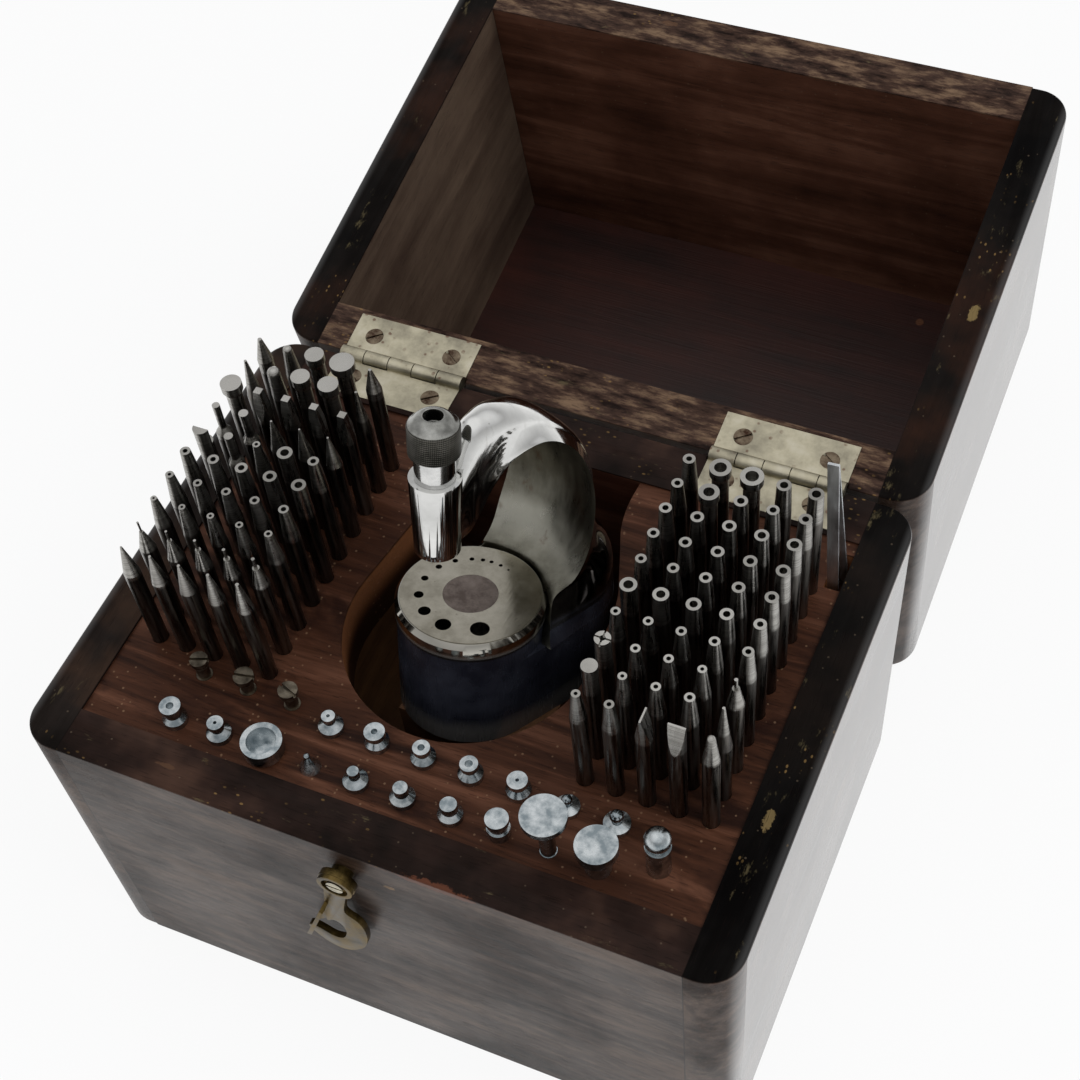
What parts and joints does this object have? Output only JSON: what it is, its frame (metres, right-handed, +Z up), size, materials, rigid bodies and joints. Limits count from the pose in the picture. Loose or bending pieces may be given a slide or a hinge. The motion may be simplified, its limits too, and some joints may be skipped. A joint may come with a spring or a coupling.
{
  "type": "staking tool set",
  "caption": "Watchmaker's staking tool in a hinged wooden box, with rows of punches and stumps.",
  "frame": {"origin": "centre of the base's underside, where the box stands on the bench", "axes": "+X to the right seen from the latch side, +Y to the hinged back, +Z up"},
  "size_m": [0.21, 0.34, 0.1973],
  "materials": {
    "box_wood": "dark stain, worn at the edges",
    "lid_lining_wood": "dark red-brown stain",
    "board_wood": "oiled red-brown, dull",
    "inner_wood": "plain, unfinished",
    "hinge_plated": "plated, yellowed, rust spots",
    "screw_rusty": "rusty, satin",
    "latch_brass": "dull, bright at the edges",
    "latch_screw_steel": "dull",
    "strip_steel": "satin",
    "cast_chrome": "polished outside, worn",
    "plate_steel": "ground, satin",
    "stud_steel": "brown-grey, satin",
    "nut_steel": "satin",
    "sleeve_chrome": "polished",
    "cap_steel": "dark, knurled",
    "punch_steel": "dark shank, ground bright tip",
    "stump_steel": "polished"
  },
  "bodies": {
    "box": {"base_left_wall": "box_wood", "base_right_wall": "box_wood", "base_front_wall": "box_wood", "base_back_wall": "box_wood", "base_floor": "inner_wood", "punch_board": "board_wood", "board_bearers": "inner_wood", "seat_block": "inner_wood", "base_hinge_leaves": "hinge_plated", "hinge_pins": "hinge_plated", "base_hinge_screws": "screw_rusty", "latch_collar": "latch_brass", "latch_screw": "latch_screw_steel", "folded_strip": "strip_steel"},
    "lid": {"lid_left_wall": "box_wood", "lid_right_wall": "box_wood", "lid_front_wall": "box_wood", "lid_back_wall": "box_wood", "lid_top_panel": "lid_lining_wood", "lid_hinge_leaves": "hinge_plated", "lid_hinge_screws": "screw_rusty", "catch_pin": "latch_brass"},
    "latch": {"latch_hook": "latch_brass"},
    "tool_frame": {"casting_base": "cast_chrome", "casting_arm": "cast_chrome", "casting_boss": "cast_chrome", "plate_stud": "stud_steel", "guide_sleeve": "sleeve_chrome"},
    "die": {"die_plate": "plate_steel"},
    "nut": {"clamp_nut": "nut_steel"},
    "cap": {"knurled_cap": "cap_steel"},
    "left_row_1_body": {"left_row_1": "punch_steel"},
    "left_row_2_body": {"left_row_2": "punch_steel"},
    "left_row_3_body": {"left_row_3": "punch_steel"},
    "left_row_4_body": {"left_row_4": "punch_steel"},
    "left_row_5_body": {"left_row_5": "punch_steel"},
    "left_row_6_body": {"left_row_6": "punch_steel"},
    "left_row_7_body": {"left_row_7": "punch_steel"},
    "left_row_8_body": {"left_row_8": "punch_steel"},
    "left_row_9_body": {"left_row_9": "punch_steel"},
    "left_row_10_body": {"left_row_10": "punch_steel"},
    "right_row_1_body": {"right_row_1": "punch_steel"},
    "right_row_2_body": {"right_row_2": "punch_steel"},
    "right_row_3_body": {"right_row_3": "punch_steel"},
    "right_row_4_body": {"right_row_4": "punch_steel"},
    "right_row_5_body": {"right_row_5": "punch_steel"},
    "right_row_6_body": {"right_row_6": "punch_steel"},
    "right_row_7_body": {"right_row_7": "punch_steel"},
    "right_row_8_body": {"right_row_8": "punch_steel"},
    "right_row_9_body": {"right_row_9": "punch_steel"},
    "right_row_10_body": {"right_row_10": "punch_steel"},
    "stumps_back_row_body": {"stumps_back_row": "stump_steel"},
    "stumps_front_row_body": {"stumps_front_row": "stump_steel"},
    "stump_domed_body": {"stump_domed": "stump_steel"}
  },
  "joints": [
    {"name": "lid_hinge", "type": "hinge", "parent": "box", "child": "lid", "pos_m": [0, 0.0796, 0.11255], "axis": [1, 0, 0], "range_deg": [0, 171.17]},
    {"name": "latch_swing", "type": "hinge", "parent": "box", "child": "latch", "pos_m": [-0.0045, -0.0787, 0.1014], "axis": [0, 1, 0], "range_deg": [0, 180]},
    {"name": "tool_lift", "type": "slide", "parent": "box", "child": "tool_frame", "axis": [0, 0, -1], "range_m": [-0.06, 0]},
    {"name": "die_turn", "type": "hinge", "parent": "tool_frame", "child": "die", "pos_m": [-0.0008, 0.0014, 0.1244], "axis": [0, 0.2239, 0.9746], "continuous": true},
    {"name": "nut_turn", "type": "hinge", "parent": "tool_frame", "child": "nut", "pos_m": [-0.0008, -0.00308, 0.10491], "axis": [0, 0.2239, 0.9746], "continuous": true},
    {"name": "cap_turn", "type": "hinge", "parent": "tool_frame", "child": "cap", "pos_m": [-0.00305, 0.00163, 0.19001], "axis": [0, 0.2239, 0.9746], "continuous": true},
    {"name": "left_row_1_lift", "type": "slide", "parent": "box", "child": "left_row_1_body", "axis": [0, 0, -1], "range_m": [-0.045, 0]},
    {"name": "left_row_2_lift", "type": "slide", "parent": "box", "child": "left_row_2_body", "axis": [0, 0, -1], "range_m": [-0.045, 0]},
    {"name": "left_row_3_lift", "type": "slide", "parent": "box", "child": "left_row_3_body", "axis": [0, 0, -1], "range_m": [-0.045, 0]},
    {"name": "left_row_4_lift", "type": "slide", "parent": "box", "child": "left_row_4_body", "axis": [0, 0, -1], "range_m": [-0.045, 0]},
    {"name": "left_row_5_lift", "type": "slide", "parent": "box", "child": "left_row_5_body", "axis": [0, 0, -1], "range_m": [-0.045, 0]},
    {"name": "left_row_6_lift", "type": "slide", "parent": "box", "child": "left_row_6_body", "axis": [0, 0, -1], "range_m": [-0.045, 0]},
    {"name": "left_row_7_lift", "type": "slide", "parent": "box", "child": "left_row_7_body", "axis": [0, 0, -1], "range_m": [-0.045, 0]},
    {"name": "left_row_8_lift", "type": "slide", "parent": "box", "child": "left_row_8_body", "axis": [0, 0, -1], "range_m": [-0.045, 0]},
    {"name": "left_row_9_lift", "type": "slide", "parent": "box", "child": "left_row_9_body", "axis": [0, 0, -1], "range_m": [-0.045, 0]},
    {"name": "left_row_10_lift", "type": "slide", "parent": "box", "child": "left_row_10_body", "axis": [0, 0, -1], "range_m": [-0.045, 0]},
    {"name": "right_row_1_lift", "type": "slide", "parent": "box", "child": "right_row_1_body", "axis": [0, 0, -1], "range_m": [-0.045, 0]},
    {"name": "right_row_2_lift", "type": "slide", "parent": "box", "child": "right_row_2_body", "axis": [0, 0, -1], "range_m": [-0.045, 0]},
    {"name": "right_row_3_lift", "type": "slide", "parent": "box", "child": "right_row_3_body", "axis": [0, 0, -1], "range_m": [-0.045, 0]},
    {"name": "right_row_4_lift", "type": "slide", "parent": "box", "child": "right_row_4_body", "axis": [0, 0, -1], "range_m": [-0.045, 0]},
    {"name": "right_row_5_lift", "type": "slide", "parent": "box", "child": "right_row_5_body", "axis": [0, 0, -1], "range_m": [-0.045, 0]},
    {"name": "right_row_6_lift", "type": "slide", "parent": "box", "child": "right_row_6_body", "axis": [0, 0, -1], "range_m": [-0.045, 0]},
    {"name": "right_row_7_lift", "type": "slide", "parent": "box", "child": "right_row_7_body", "axis": [0, 0, -1], "range_m": [-0.045, 0]},
    {"name": "right_row_8_lift", "type": "slide", "parent": "box", "child": "right_row_8_body", "axis": [0, 0, -1], "range_m": [-0.045, 0]},
    {"name": "right_row_9_lift", "type": "slide", "parent": "box", "child": "right_row_9_body", "axis": [0, 0, -1], "range_m": [-0.045, 0]},
    {"name": "right_row_10_lift", "type": "slide", "parent": "box", "child": "right_row_10_body", "axis": [0, 0, -1], "range_m": [-0.045, 0]},
    {"name": "stumps_back_row_lift", "type": "slide", "parent": "box", "child": "stumps_back_row_body", "axis": [0, 0, -1], "range_m": [-0.03, 0]},
    {"name": "stumps_front_row_lift", "type": "slide", "parent": "box", "child": "stumps_front_row_body", "axis": [0, 0, -1], "range_m": [-0.03, 0]},
    {"name": "stump_domed_lift", "type": "slide", "parent": "box", "child": "stump_domed_body", "axis": [0, 0, -1], "range_m": [-0.03, 0]}
  ]
}
